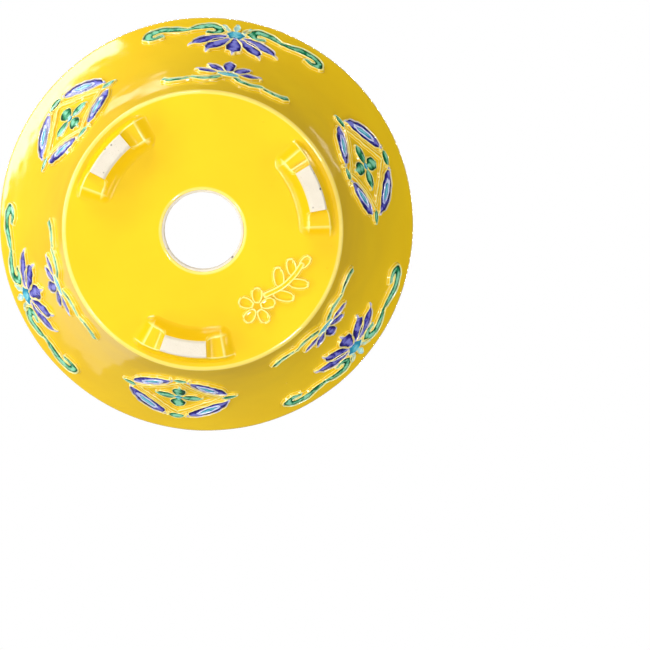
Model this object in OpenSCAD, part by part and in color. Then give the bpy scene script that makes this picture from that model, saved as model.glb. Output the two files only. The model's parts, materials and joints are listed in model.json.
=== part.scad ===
// Small round bonsai pot, standing upright: a flared clay bowl on three bracket feet,
// with a yellow glaze and raised lotus scrolls and medallions in coloured enamel.
// Millimetres, +Z up. The origin is on the ground, under the middle of the drain hole.

/* [Bowl] */
// Radius of the lip at its widest
rim_r = 43; // [36:0.5:52]
// Height of the whole pot, feet included
pot_h = 39.5; // [33:0.5:48]
// Radius of the base at its edge
base_r = 27.2; // [23:0.2:33]
// Extra lean of the wall at the lip over a straight wall, in degrees
wall_flare = 11; // [8:0.5:14]
// Thickness of the clay wall
wall_t = 2.6; // [2:0.1:3.6]
// Thickness of the clay floor
floor_t = 4; // [3:0.1:6]
// Rounding of the edge between the base and the wall
base_edge_r = 1; // [0.8:0.1:2]
// Rounding between the floor and the wall inside
inner_fillet_r = 6; // [3:0.5:9]

/* [Drain hole] */
// Radius of the hole through the clay floor
drain_r = 7.5; // [5:0.1:10]
// Width of the bare ring that the glaze leaves round the hole
drain_bare = 0.45; // [0.2:0.05:1]

/* [Glaze] */
// Thickness of the glaze
glaze_t = 0.4; // [0.2:0.05:0.6]
// How far the glaze runs down the wall inside the lip
glaze_drop = 6; // [3:0.5:10]

/* [Feet] */
// Height of the feet below the base
foot_h = 5; // [4:0.1:7]
// Distance from the edge of the base to the root of a foot
foot_setback = 1.8; // [1.2:0.1:3]
// Radial depth of a foot at its root
foot_depth = 6; // [5:0.1:8]
// How far the outer side of a foot leans in from its root to its pad
foot_taper_out = 1.1; // [0.5:0.1:1.6]
// How far the inner side of a foot leans out from its root to its pad
foot_taper_in = 1.9; // [0.5:0.1:2.2]
// Half of the angle that a foot spans at its root, in degrees
foot_half = 22.3; // [20:0.1:28]
// Half of the angle between the steps in the bracket outline, in degrees
step_half = 15.5; // [13:0.1:17]
// Half of the angle that the pad spans, in degrees
pad_half = 10.8; // [9:0.1:11.5]
// Height of the shoulders on both sides of the pad
shoulder_h = 2.6; // [2:0.1:3.4]
// Height of bare clay that the glaze leaves above the ground
pad_bare = 0.5; // [0.3:0.1:1]

/* [Relief] */
// Height of the enamel reliefs at the middle of a stroke
relief_h = 0.8; // [0.4:0.1:1.2]
// Height of the enamel reliefs at the side of a stroke
relief_edge_h = 0.5; // [0.2:0.1:0.7]
// How far the sides of a stroke slope in from the wall to the top
relief_slope = 0.1; // [0.05:0.01:0.14]
// Height of the medallions' centres up the slope of the wall
medallion_v = 19; // [17.5:0.1:20.5]
// Radius of the circle that a medallion's petals fill
medallion_r = 9.9; // [9:0.1:10.5]
// Height of the blossom sprig under the base
sprig_h = 0.5; // [0.3:0.1:1]

/* [Hidden] */
$fn = 96;
sides = [1:3];

clay = [0.93, 0.89, 0.80];
yellow = [0.98, 0.82, 0.16];
violet = [0.33, 0.36, 0.70];
turquoise = [0.28, 0.68, 0.80];
green = [0.22, 0.60, 0.43];

degrees = 180 / PI;
turn = 360 / 3;
first_foot = 90;        // azimuth of the first foot and the first medallion
first_lotus = 30;       // azimuth of the first lotus panel, between two feet
sprig_azimuth = 31;
overcut = 1;            // how far a cutting solid passes the face that it opens
end_drop = 0.12;        // height at which the end of a foot meets the base
stroke_end = 0.01;      // lift that keeps a stroke's straight facets out of the round wall
motif_slant = 35.5;     // slope length of the wall that the motifs are drawn for
sprig_band = 19.7;      // width of the base round the hole that the sprig is drawn for

// ---- Section of the bowl ----
// The outside of the wall is one arc, bending outwards from the base edge to the lip.
// A lean is the wall's angle from vertical, and the outward normal there is [cos, -sin].
function normal(lean) = [cos(lean), -sin(lean)];
lip_r = wall_t / 2 + glaze_t;
lip_c = [rim_r - lip_r, pot_h - lip_r];
lip_lean = atan2(lip_c[0] - base_r, lip_c[1] - foot_h) + wall_flare;
wall_end = lip_c + lip_r * normal(lip_lean);
chord = wall_end - [base_r, foot_h];
base_lean = 2 * atan2(chord[0], chord[1]) - lip_lean;
bend_r = norm(chord) / (2 * sin((lip_lean - base_lean) / 2));
bend_c = wall_end + bend_r * normal(lip_lean);
slant = bend_r * (lip_lean - base_lean) / degrees;

// Point of the wall's section at a lean, h outside the face of the glaze
function wall_point(lean, h = 0) = bend_c - (bend_r - h) * normal(lean);

// Middle of the base edge's rounding, and the lean where it meets the wall
edge_lean = asin((foot_h + base_edge_r - bend_c[1]) / (bend_r + base_edge_r));
edge_c = wall_point(edge_lean, -base_edge_r);

// The same for the rounding inside, between the floor and the wall
inside_t = glaze_t + wall_t;
floor_z = foot_h + glaze_t + floor_t;
inner_lean = asin((floor_z + inner_fillet_r - bend_c[1]) / (bend_r + inside_t + inner_fillet_r));
inner_c = wall_point(inner_lean, -inside_t - inner_fillet_r);

edge_steps = 5;
wall_steps = 18;
lip_steps = 6;

// Points of a round stretch from one lean to another, without the last
function arc(c, r, from, to, n) =
    [for (k = [0:n - 1]) c + r * normal(from + (to - from) * k / n)];
// Points along the wall at h outside the glaze, without the last
function wall_run(from, to, h, n) =
    [for (k = [0:n - 1]) wall_point(from + (to - from) * k / n, h)];
function reversed(list) = [for (k = [len(list) - 1:-1:0]) list[k]];

// The outside of the bowl from the hole round the lip, inset below the face of the glaze.
// The run down the inside of the wall goes on from here.
function outside(inset, hole_r) = concat(
    [[hole_r, foot_h + inset]],
    arc(edge_c, base_edge_r - inset, 90, edge_lean, edge_steps),
    wall_run(edge_lean, lip_lean, -inset, wall_steps),
    arc(lip_c, lip_r - inset, lip_lean, 0, lip_steps / 2),
    arc(lip_c, lip_r - inset, 0, -90, lip_steps),
    arc(lip_c, lip_r - inset, -90, lip_lean - 180, lip_steps / 2));

// The glaze goes over the lip and ends a little way down the inside of the wall.
drop_lean = lip_lean - glaze_drop / bend_r * degrees;

// ---- Lofted solids ----
// Solid through a row of rings with equal numbers of points, each ring
// counter-clockwise as seen along the row
module loft(rings) {
    m = len(rings[0]);
    last = (len(rings) - 1) * m;
    polyhedron(
        points = [for (ring = rings) each ring],
        faces = concat(
            [for (j = [1:m - 2]) [0, j + 1, j]],
            [for (j = [1:m - 2]) [last, last + j, last + j + 1]],
            [for (i = [0:len(rings) - 2], j = [0:m - 1], half = [0, 1])
                let (a = i * m + j, b = i * m + (j + 1) % m)
                half == 0 ? [a, b, b + m] : [a, b + m, a + m]]));
}

// ---- Reliefs on the wall ----
// A motif is drawn flat: x to the right as seen from outside, v up the slope of the wall.
unit = slant / motif_slant;
motif_lean = base_lean + medallion_v * unit / bend_r * degrees;
motif_r = wall_point(motif_lean)[0];

function on_wall(p, h) =
    let (s = wall_point(base_lean + p[1] * unit / bend_r * degrees, h),
         around = p[0] * unit / motif_r * degrees)
    [s[0] * cos(around), s[0] * sin(around), s[1]];

// Smooth curve through a stroke's points [x, v, half width], at u along them
function held(p, i) = p[max(0, min(len(p) - 1, i))];
function smooth(p, u) =
    let (i = min(floor(u), len(p) - 2), t = u - i,
         a = held(p, i - 1), b = p[i], c = p[i + 1], d = held(p, i + 2))
    (2 * b + (c - a) * t + (2 * a - 5 * b + 4 * c - d) * t * t
        + (3 * b - a - 3 * c + d) * t * t * t) / 2;
function flat(p) = [p[0], p[1]];
function unit_vector(v) = v / norm(v);

// One ring of a stroke: both feet on the wall, both shoulders and the crest
function stroke_ring(p, u, high) =
    let (q = smooth(p, u), near = 0.02,
         along = unit_vector(flat(smooth(p, min(u + near, len(p) - 1)))
             - flat(smooth(p, max(u - near, 0)))),
         left = [-along[1], along[0]],
         wide = q[2], top = wide - relief_slope,
         seat = wide * wide / (2 * base_r) + stroke_end,
         mid = flat(q))
    [on_wall(mid + left * wide, seat), on_wall(mid - left * wide, seat),
     on_wall(mid - left * top, relief_edge_h + high), on_wall(mid, relief_h + high),
     on_wall(mid + left * top, relief_edge_h + high)];

// Raised stroke through its points, n rings to each gap between them
module stroke(p, n = 4, high = 0) {
    count = (len(p) - 1) * n;
    loft([for (k = [0:count]) stroke_ring(p, k / n, high)]);
}

function flipped(p) = [for (q = p) [-q[0], q[1], q[2]]];
function turned(p, a) =
    [for (q = p) [q[0] * cos(a) - q[1] * sin(a), q[0] * sin(a) + q[1] * cos(a), q[2]]];
function raised(p, v) = [for (q = p) [q[0], q[1] + v, q[2]]];
module both_sides(p, n = 4) {
    stroke(p, n);
    stroke(flipped(p), n);
}
module on_side(i, first) {
    rotate(first + (i - 1) * turn) children();
}

// Lotus under the lip, with its petals towards the base
rim_petal = [[0, 27.6, 0.35], [0, 24.4, 1.15], [0, 21.2, 0.15]];
rim_side_petal = [[1.8, 27.1, 0.3], [3.4, 24.6, 1.1], [4.9, 22.2, 0.15]];
rim_outer_petal = [[3.4, 27.3, 0.3], [5.6, 26.5, 0.9], [7.8, 25, 0.15]];
rim_heart = [[0, 32.4, 0.2], [0, 30.8, 0.6], [0, 29.1, 1.2], [0, 27.9, 0.4]];
rim_vine_in = [[3.3, 29.4, 0.35], [2.5, 31, 0.6], [3.8, 32.1, 0.7], [5.8, 31.6, 0.7], [8, 30.7, 0.35]];
rim_vine_out = [[8.7, 30.6, 0.3], [10.2, 31.2, 0.65], [12.6, 32.1, 0.7], [15, 31.6, 0.7],
                [15.4, 30.1, 0.55], [14.2, 29.4, 0.3]];

// Lotus above the base, with its petals towards the lip
base_petal = [[0, 11.2, 0.35], [0, 13.6, 0.95], [0, 16, 0.15]];
base_side_petal = [[2, 11.3, 0.3], [3.1, 13, 0.75], [3.9, 14.6, 0.15]];
base_outer_petal = [[3.4, 10.7, 0.25], [5, 11.3, 0.6], [6.6, 12.3, 0.15]];
base_heart = [[-1.9, 10, 0.25], [0, 10, 0.8], [1.9, 10, 0.25]];
base_vine_in = [[1.6, 8.5, 0.3], [3.4, 7.1, 0.5], [5.6, 6.7, 0.55], [7.6, 7.6, 0.3]];
base_vine_out = [[8.4, 7.8, 0.25], [10.4, 7.1, 0.5], [12.8, 7.6, 0.5], [14.2, 8.9, 0.2]];

// Medallion round its own middle
petal_ends = 32;        // half of the angle between the ends of a petal
petal_wide = 1.5;
function polar(r, a, w) = [r * cos(a), r * sin(a), w];
medallion_petal = [polar(medallion_r - 0.2, -petal_ends, 0.15),
                   polar(medallion_r - petal_wide, 0, petal_wide),
                   polar(medallion_r - 0.2, petal_ends, 0.15)];
petal_core = [[medallion_r - 1.6, -1.4, 0.15], [medallion_r - 1.5, 0, 0.5], [medallion_r - 1.6, 1.4, 0.15]];
tall_leaf = [[1, 0, 0.3], [3, 0, 1.25], [4.8, 0, 0.3]];
wide_leaf = [[1, 0, 0.3], [3, 0, 0.95], [4.8, 0, 0.25]];
top_knot = [[medallion_r - 1.1, 0, 0.45], [medallion_r, 0, 0.95], [medallion_r + 0.9, 0, 0.5]];
side_knot = [[medallion_r - 0.9, 0, 0.45], [medallion_r, 0, 0.8], [medallion_r + 1.5, 0, 0.15]];
frame_side = [[8, 0.45, 0.22], [3.9, 3.9, 0.3], [0.45, 8, 0.22]];
bead = [[-0.35, 0, 0.2], [0, 0, 0.4], [0.35, 0, 0.2]];

// ---- Bowl ----
module clay_body() {
    color(clay) rotate_extrude() polygon(concat(
        outside(glaze_t, drain_r),
        wall_run(lip_lean, drop_lean, -inside_t, lip_steps),
        wall_run(drop_lean, inner_lean, -inside_t, wall_steps),
        arc(inner_c, inner_fillet_r, inner_lean, 90, lip_steps),
        [[inner_c[0], floor_z], [drain_r, floor_z]]));
}

module glaze_coat() {
    color(yellow) difference() {
        rotate_extrude() polygon(concat(
            outside(0, drain_r + drain_bare),
            wall_run(lip_lean, drop_lean, -inside_t - glaze_t, lip_steps),
            [wall_point(drop_lean, -inside_t - glaze_t), wall_point(drop_lean, -inside_t)],
            reversed(wall_run(lip_lean, drop_lean, -inside_t, lip_steps)),
            reversed(outside(glaze_t, drain_r + drain_bare))));
        for (i = sides) on_side(i, first_foot) foot_root();
    }
}

// ---- Feet ----
root_out = base_r - foot_setback;
root_in = root_out - foot_depth;
root_top = foot_h + glaze_t;
round_steps = 6;
pad_steps = 8;

// Annular piece of the base's glaze that a foot takes the place of
module foot_root() {
    rotate(-foot_half) rotate_extrude(angle = 2 * foot_half)
        translate([root_in, foot_h - overcut]) square([foot_depth, glaze_t + 2 * overcut]);
}

// Bracket outline of one half of a foot, [angle, drop below the base]: a round
// shoulder from the end of the foot, then a cove down to the edge of the pad
function foot_outline(inset) =
    let (trim = inset / root_out * degrees, shoulder = shoulder_h - inset)
    concat(
        [for (k = [0:round_steps - 1]) let (a = 90 * k / round_steps)
            [step_half + (foot_half - step_half) * cos(a) - trim, max(shoulder * sin(a), end_drop)]],
        [for (k = [0:round_steps]) let (a = 90 * k / round_steps)
            [step_half - (step_half - pad_half) * sin(a) - trim,
             shoulder + (foot_h - shoulder) * (1 - cos(a))]]);

function foot_ring(q, inset, over) =
    let (share = q[1] / foot_h,
         out = root_out - inset, in = root_in + inset,
         pad_out = out - foot_taper_out * share, pad_in = in + foot_taper_in * share)
    [for (s = [[pad_in, foot_h - q[1]], [pad_out, foot_h - q[1]], [out, foot_h],
               [out, root_top + over], [in, root_top + over], [in, foot_h]])
        [s[0] * cos(q[0]), s[0] * sin(q[0]), s[1]]];

// One foot, inset from the face of its glaze, with its top raised by over
module foot_form(inset, over = 0) {
    outline = foot_outline(inset);
    pad_edge = outline[len(outline) - 1];
    loft([for (q = concat(
        [for (p = outline) [-p[0], p[1]]],
        [for (k = [1:pad_steps - 1]) [pad_edge[0] * (2 * k / pad_steps - 1), foot_h]],
        reversed(outline))) foot_ring(q, inset, over)]);
}

module foot() {
    color(clay) foot_form(glaze_t);
}

module foot_glaze() {
    color(yellow) difference() {
        foot_form(0);
        foot_form(glaze_t, overcut);
        translate([0, 0, -overcut]) cylinder(r = base_r, h = pad_bare + overcut);
    }
}

// ---- Lotus panels ----
module rim_lotus_petals() {
    color(violet) {
        stroke(rim_petal);
        both_sides(rim_side_petal);
        both_sides(rim_outer_petal);
    }
}

module rim_lotus_heart() {
    color(turquoise) stroke(rim_heart);
}

module rim_vines() {
    color(green) {
        both_sides(rim_vine_in, 3);
        both_sides(rim_vine_out, 3);
    }
}

module base_lotus_petals() {
    color(violet) {
        stroke(base_petal);
        both_sides(base_side_petal);
        both_sides(base_outer_petal);
    }
}

module base_lotus_heart() {
    color(turquoise) stroke(base_heart);
}

module base_vines() {
    color(green) {
        both_sides(base_vine_in, 3);
        both_sides(base_vine_out, 3);
    }
}

// ---- Medallions ----
quarters = [0, 90, 180, 270];
module medallion_stroke(p, a, n = 4, high = 0) {
    stroke(raised(turned(p, a), medallion_v), n, high);
}

module petal_cores(high) {
    for (a = quarters) medallion_stroke(petal_core, a + 45, 3, high);
}

module medallion_petals() {
    color(violet) difference() {
        for (a = quarters) medallion_stroke(medallion_petal, a + 45);
        petal_cores(overcut);
    }
}

module medallion_cores() {
    color(turquoise) {
        petal_cores(0);
        medallion_stroke(bead, 0, 3);
    }
}

module medallion_leaves() {
    color(green) for (a = [0, 180]) {
        medallion_stroke(wide_leaf, a);
        medallion_stroke(tall_leaf, a + 90);
        medallion_stroke(side_knot, a, 3);
        medallion_stroke(top_knot, a + 90, 3);
    }
}

module medallion_frame() {
    color(yellow) for (a = quarters) medallion_stroke(frame_side, a);
}

// ---- Blossom sprig under the base ----
blossom_at = [-4.6, 0.4];
blossom_petal_r = 1.5;
blossom_ring_r = 2.1;
stem_r = 12;
stem_w = 0.8;

// Pointed leaf between two arcs, from the origin along +X
module leaf(long, wide) {
    r = (long * long + wide * wide) / (4 * wide);
    intersection() {
        translate([long / 2, r - wide / 2]) circle(r);
        translate([long / 2, wide / 2 - r]) circle(r);
    }
}

module blossom() {
    difference() {
        union() {
            circle(blossom_ring_r - 0.6);
            for (k = [0:4]) rotate(72 * k + 18) translate([blossom_ring_r, 0]) circle(blossom_petal_r);
        }
        circle(0.6);
    }
}

module stem() {
    intersection() {
        translate([1.6, -stem_r]) difference() {
            circle(stem_r + stem_w / 2);
            circle(stem_r - stem_w / 2);
        }
        translate([-2.2, -2]) square([9.4, 3]);
    }
}

module base_sprig() {
    size = (base_r - drain_r) / sprig_band;
    reach = (base_r + drain_r) / 2 + 1;
    color(yellow) rotate(sprig_azimuth) translate([reach, 0, foot_h - sprig_h])
        rotate(-75) linear_extrude(sprig_h) scale(size) {
            translate(blossom_at) blossom();
            stem();
            translate([-0.6, 0]) rotate(48) leaf(4.4, 1.7);
            translate([1.2, 0]) rotate(-62) leaf(4.2, 1.7);
            translate([3, 0]) rotate(40) leaf(4.2, 1.6);
            translate([4.6, -0.4]) rotate(-66) leaf(3.6, 1.5);
            translate([6.6, -1]) rotate(-14) leaf(3, 1.3);
        }
}

clay_body();
glaze_coat();
base_sprig();
for (i = sides) {
    foot_side = first_foot;
    lotus_side = first_lotus;
    on_side(i, foot_side) foot();
    on_side(i, foot_side) foot_glaze();
    on_side(i, lotus_side) rim_lotus_petals();
    on_side(i, lotus_side) rim_lotus_heart();
    on_side(i, lotus_side) rim_vines();
    on_side(i, lotus_side) base_lotus_petals();
    on_side(i, lotus_side) base_lotus_heart();
    on_side(i, lotus_side) base_vines();
    on_side(i, foot_side) medallion_petals();
    on_side(i, foot_side) medallion_cores();
    on_side(i, foot_side) medallion_leaves();
    on_side(i, foot_side) medallion_frame();
}
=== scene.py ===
import json
import math

import bpy
import numpy as np
from mathutils import Matrix, Vector


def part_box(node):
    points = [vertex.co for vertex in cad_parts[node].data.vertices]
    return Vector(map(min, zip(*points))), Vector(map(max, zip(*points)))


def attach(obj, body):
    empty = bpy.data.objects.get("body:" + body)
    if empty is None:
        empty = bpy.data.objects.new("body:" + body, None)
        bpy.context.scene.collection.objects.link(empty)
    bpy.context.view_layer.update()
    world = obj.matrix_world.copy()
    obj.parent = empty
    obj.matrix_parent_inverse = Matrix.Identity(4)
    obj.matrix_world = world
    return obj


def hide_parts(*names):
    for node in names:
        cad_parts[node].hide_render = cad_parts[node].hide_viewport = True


# Looks of a small round bonsai pot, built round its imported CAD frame.
# The pot stands upright on its three feet, with +Z up. Shapes are worked out in
# millimetres and turned into metres in add_piece(). Angles are in radians.

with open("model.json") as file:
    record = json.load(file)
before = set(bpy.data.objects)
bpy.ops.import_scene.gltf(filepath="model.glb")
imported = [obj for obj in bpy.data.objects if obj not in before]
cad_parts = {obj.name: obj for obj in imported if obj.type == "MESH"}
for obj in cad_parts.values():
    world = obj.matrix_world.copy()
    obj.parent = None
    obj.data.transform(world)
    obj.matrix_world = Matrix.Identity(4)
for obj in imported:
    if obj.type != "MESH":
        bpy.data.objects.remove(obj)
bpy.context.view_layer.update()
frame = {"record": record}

MM = 0.001
TURN = 2 * math.pi / 3
FIRST_FOOT = math.radians(90)
FIRST_LOTUS = math.radians(30)
SIDES = (1, 2, 3)


def box_mm(node):
    """Lowest and highest corner of a CAD node, in millimetres."""
    low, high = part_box(node)
    return np.array(low) / MM, np.array(high) / MM


# ---- Section of the bowl, as in the CAD ----
glaze_low, glaze_high = box_mm("glaze_coat")
clay_low, _ = box_mm("clay_body")
RIM_R = glaze_high[0]
POT_H = glaze_high[2]
FOOT_H = glaze_low[2]
GLAZE_T = clay_low[2] - FOOT_H
DRAIN_R = next(m["dims"]["r_mm"] for m in frame["record"]["mounts"] if m["name"] == "drain_hole")
# Bare clay between the drain hole and the glaze
DRAIN_BARE = 0.45
BASE_R = 27.2
BASE_EDGE_R = 1.0
# Clay of the wall and of the floor
WALL_T = 2.6
FLOOR_T = 4.0
# How much further the wall leans out at the lip than its chord does
WALL_FLARE = math.radians(11)
INNER_FILLET_R = 6.0
# How far the glaze runs down the inside
GLAZE_DROP = 6.0


def normal(lean):
    """Outward normal [r, z] of the wall where it leans that far from upright."""
    return np.stack([np.cos(lean), -np.sin(lean)], axis=-1)


lip_r = WALL_T / 2 + GLAZE_T
lip_c = np.array([RIM_R - lip_r, POT_H - lip_r])
lip_lean = math.atan2(lip_c[0] - BASE_R, lip_c[1] - FOOT_H) + WALL_FLARE
wall_end = lip_c + lip_r * normal(lip_lean)
chord = wall_end - (BASE_R, FOOT_H)
base_lean = 2 * math.atan2(*chord) - lip_lean
bend_r = np.linalg.norm(chord) / (2 * math.sin((lip_lean - base_lean) / 2))
bend_c = wall_end + bend_r * normal(lip_lean)
slant = bend_r * (lip_lean - base_lean)


def wall_point(lean, h=0.0):
    """Point [r, z] of the wall at a lean, h outside the face of the glaze."""
    return bend_c - (bend_r - np.asarray(h))[..., None] * normal(lean)


edge_lean = math.asin((FOOT_H + BASE_EDGE_R - bend_c[1]) / (bend_r + BASE_EDGE_R))
edge_c = wall_point(edge_lean, -BASE_EDGE_R)
inside_t = GLAZE_T + WALL_T
floor_z = FOOT_H + GLAZE_T + FLOOR_T
inner_lean = math.asin((floor_z + INNER_FILLET_R - bend_c[1]) / (bend_r + inside_t + INNER_FILLET_R))
inner_c = wall_point(inner_lean, -inside_t - INNER_FILLET_R)
drop_lean = lip_lean - GLAZE_DROP / bend_r


def bow(centre, radii, start, end, n):
    """n points [r, z] of a round stretch; radii is one radius or a pair for an ellipse."""
    return centre + np.asarray(radii) * normal(np.linspace(start, end, n))


def wall_run(start, end, h, n):
    """n points [r, z] along the wall between two leans, h outside the face of the glaze."""
    return wall_point(np.linspace(start, end, n), h)


def straight(a, b, n):
    """n points between two others, without those two."""
    return np.linspace(a, b, n + 2)[1:-1]


# Height of one wave of the ripple
RIPPLE_H = 0.012
# Wave heights by which the whole ripple lies below the face of the glaze in the CAD
RIPPLE_SINK = 4
# Radians per millimetre of each wave along x, y and z, and its start
RIPPLE_WAVES = ((0.31, 0.23, 0.41, 0.5), (0.17, -0.36, 0.28, 2.1), (-0.52, 0.19, -0.22, 4.0))


def ripple(points):
    """Slow unevenness of a hand-dipped glaze: how high it lies, from -0.084 to -0.012 mm."""
    x, y, z = points[..., 0], points[..., 1], points[..., 2]
    waves = sum(np.sin(a * x + b * y + c * z + start) for a, b, c, start in RIPPLE_WAVES)
    return RIPPLE_H * (waves - RIPPLE_SINK)


# ---- Mesh building ----
# Edges that bend by more than this are shaded sharp
SHARP_BEND = math.radians(50)


def add_piece(name, parts, material, replaced=(), values=None):
    """Object from [(points in mm, faces)], riding on the pot; values are per-point numbers."""
    points = np.concatenate([p for p, _ in parts]) * MM
    faces, start = [], 0
    for p, quads in parts:
        faces += [tuple(int(k) + start for k in q) for q in quads]
        start += len(p)
    mesh = bpy.data.meshes.new(name)
    mesh.from_pydata(points.tolist(), [], faces)
    mesh.validate()
    mesh.shade_smooth()
    mesh.set_sharp_from_angle(angle=SHARP_BEND)
    mesh.materials.append(material)
    for key, column in (values or {}).items():
        mesh.attributes.new(key, "FLOAT", "POINT").data.foreach_set("value", np.concatenate(column))
    mark_bends(mesh)
    piece = bpy.data.objects.new(name, mesh)
    bpy.context.scene.collection.objects.link(piece)
    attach(piece, "root")
    if replaced:
        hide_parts(*replaced)


def mark_bends(mesh):
    """Writes how far each point bulges out, and dips in, to the attributes crest and hollow."""
    co = np.zeros(len(mesh.vertices) * 3)
    no = np.zeros(len(mesh.vertices) * 3)
    ends = np.zeros(len(mesh.edges) * 2, int)
    mesh.vertices.foreach_get("co", co)
    mesh.vertices.foreach_get("normal", no)
    mesh.edges.foreach_get("vertices", ends)
    co, no, ends = co.reshape(-1, 3) / MM, no.reshape(-1, 3), ends.reshape(-1, 2)
    bend, count = np.zeros(len(co)), np.zeros(len(co))
    for a, b in (ends.T, ends.T[::-1]):
        way = co[b] - co[a]
        long = np.maximum((way * way).sum(1), 1e-6)
        np.add.at(bend, a, -2 * (way * no[a]).sum(1) / long)
        np.add.at(count, a, 1)
    bend /= np.maximum(count, 1)
    for key, side in (("crest", bend), ("hollow", -bend)):
        amount = np.clip(side, 0, None)
        mesh.attributes.new(key, "FLOAT", "POINT").data.foreach_set("value", amount / (amount + 1))


def facing_out(points, faces):
    """The faces, turned round if they enclose a negative volume."""
    f = np.asarray(faces)
    a, b, c, d = (points[f[:, k]] for k in range(4))
    volume = (a * np.cross(b, c)).sum() + (a * np.cross(c, d)).sum()
    return f if volume > 0 else f[:, ::-1]


def revolve(section, columns, lift=None):
    """Closed ring through a closed section [r, z]; lift is each point's share of the ripple."""
    angles = np.linspace(0, 2 * math.pi, columns, endpoint=False)
    r, z = section[:, 0, None], section[:, 1, None]
    points = np.stack([r * np.cos(angles), r * np.sin(angles), z + 0 * angles], axis=-1)
    if lift is not None:
        way = np.roll(section, -1, axis=0) - np.roll(section, 1, axis=0)
        way /= np.linalg.norm(way, axis=1)[:, None]
        out = np.stack([way[:, 1, None] * np.cos(angles), way[:, 1, None] * np.sin(angles),
                        -way[:, 0, None] + 0 * angles], axis=-1)
        points = points + out * (lift[:, None] * ripple(points))[..., None]
    n = len(section)
    i, j = np.meshgrid(np.arange(n), np.arange(columns), indexing="ij")
    i2, j2 = (i + 1) % n, (j + 1) % columns
    faces = np.stack([i * columns + j, i2 * columns + j, i2 * columns + j2, i * columns + j2], axis=-1)
    points = points.reshape(-1, 3)
    return points, facing_out(points, faces.reshape(-1, 4))


def shell(front, back, keep):
    """Closed solid between two grids of points, over the cells that keep marks."""
    rows, cols = front.shape[:2]
    index = np.arange(rows * cols).reshape(rows, cols)
    a, b, c, d = index[:-1, :-1], index[1:, :-1], index[1:, 1:], index[:-1, 1:]
    top = np.stack([a, b, c, d], axis=-1)[keep]
    around = np.pad(keep, 1)
    open_sides = ((a, b, around[1:-1, :-2]), (b, c, around[2:, 1:-1]),
                  (c, d, around[1:-1, 2:]), (d, a, around[:-2, 1:-1]))
    walls = [np.stack([q, p, p + index.size, q + index.size], axis=-1)[keep & ~beyond]
             for p, q, beyond in open_sides]
    faces = np.concatenate([top, top[:, ::-1] + index.size] + walls)
    used, faces = np.unique(faces, return_inverse=True)
    points = np.concatenate([front.reshape(-1, 3), back.reshape(-1, 3)])[used]
    return points, facing_out(points, faces.reshape(-1, 4))


# ---- Bowl ----
# Sizes of the glaze's soft edge at the hole and inside the lip, in glaze thicknesses
HOLE_BEAD = 1.6
DROP_BEAD = 1.5
# Rounding of the clay at the drain hole
HOLE_NOSE = 0.5
# Throwing rings: how many, and their height
WALL_RINGS = 9
WALL_RING_H = 0.05
FLOOR_RINGS = 5
FLOOR_RING_H = 0.04
# Points round the bowl
GLAZE_COLUMNS = 360
CLAY_COLUMNS = 240


def glaze_section():
    """Section of the glaze [r, z], and how much of the ripple each of its points takes.

    The last number of a stretch is how many points it has.
    """
    hole = DRAIN_R + DRAIN_BARE
    bead = HOLE_BEAD * GLAZE_T
    turned_in = wall_point(drop_lean, -inside_t)
    down = -np.array([math.sin(drop_lean), math.cos(drop_lean)])
    t = np.linspace(0, math.pi / 2, 7)[:, None]
    face = np.concatenate([
        bow((hole + bead, FOOT_H + GLAZE_T), (bead, GLAZE_T), math.pi, math.pi / 2, 7),
        straight((hole + bead, FOOT_H), (edge_c[0], FOOT_H), 44),
        bow(edge_c, BASE_EDGE_R, math.pi / 2, edge_lean, 12),
        wall_run(edge_lean, lip_lean, 0, 66)[1:-1],
        bow(lip_c, lip_r, lip_lean, lip_lean - math.pi, 30),
        wall_run(lip_lean, drop_lean, -inside_t - GLAZE_T, 9)[1:-1],
        turned_in - GLAZE_T * normal(drop_lean) * np.cos(t) + DROP_BEAD * GLAZE_T * down * np.sin(t)])
    inner = np.concatenate([
        wall_run(drop_lean, lip_lean, -inside_t, 9)[1:],
        bow(lip_c, lip_r - GLAZE_T, lip_lean - math.pi, lip_lean, 14)[1:],
        wall_run(lip_lean, edge_lean, -GLAZE_T, 24)[1:-1],
        bow(edge_c, BASE_EDGE_R - GLAZE_T, edge_lean, math.pi / 2, 6)])
    lift = np.concatenate([np.ones(len(face)), np.zeros(len(inner))])
    return np.concatenate([face, inner]), lift


def throwing_rings(t, count, high):
    """Height of the rings where t goes from 0 to 1; they fade out at both ends."""
    return high * np.sin(2 * math.pi * count * t) * np.sin(math.pi * t)


def clay_section():
    """Section of the clay body, with faint throwing rings on the inner wall and the floor."""
    t_wall = np.linspace(0, 1, 90)
    wall_lean = drop_lean + (inner_lean - drop_lean) * t_wall
    inner_wall = wall_point(wall_lean, -inside_t - throwing_rings(t_wall, WALL_RINGS, WALL_RING_H))
    t_floor = np.linspace(0, 1, 60)
    floor_r = inner_c[0] + (DRAIN_R + HOLE_NOSE - inner_c[0]) * t_floor
    floor_rings = throwing_rings(t_floor, FLOOR_RINGS, FLOOR_RING_H)
    half_nose = HOLE_NOSE / 2
    return np.concatenate([
        bow((DRAIN_R + half_nose, FOOT_H + GLAZE_T + half_nose), half_nose,
            math.pi, math.pi / 2, 5),
        bow(edge_c, BASE_EDGE_R - GLAZE_T, math.pi / 2, edge_lean, 5),
        wall_run(edge_lean, lip_lean, -GLAZE_T, 20)[1:-1],
        bow(lip_c, lip_r - GLAZE_T, lip_lean, lip_lean - math.pi, 14),
        wall_run(lip_lean, drop_lean, -inside_t, 6)[1:-1],
        inner_wall,
        bow(inner_c, INNER_FILLET_R, inner_lean, math.pi / 2, 12)[1:-1],
        np.stack([floor_r, floor_z + floor_rings], axis=-1),
        bow((DRAIN_R + HOLE_NOSE, floor_z - HOLE_NOSE), HOLE_NOSE,
            -math.pi / 2, -math.pi, 5)[1:]])


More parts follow.
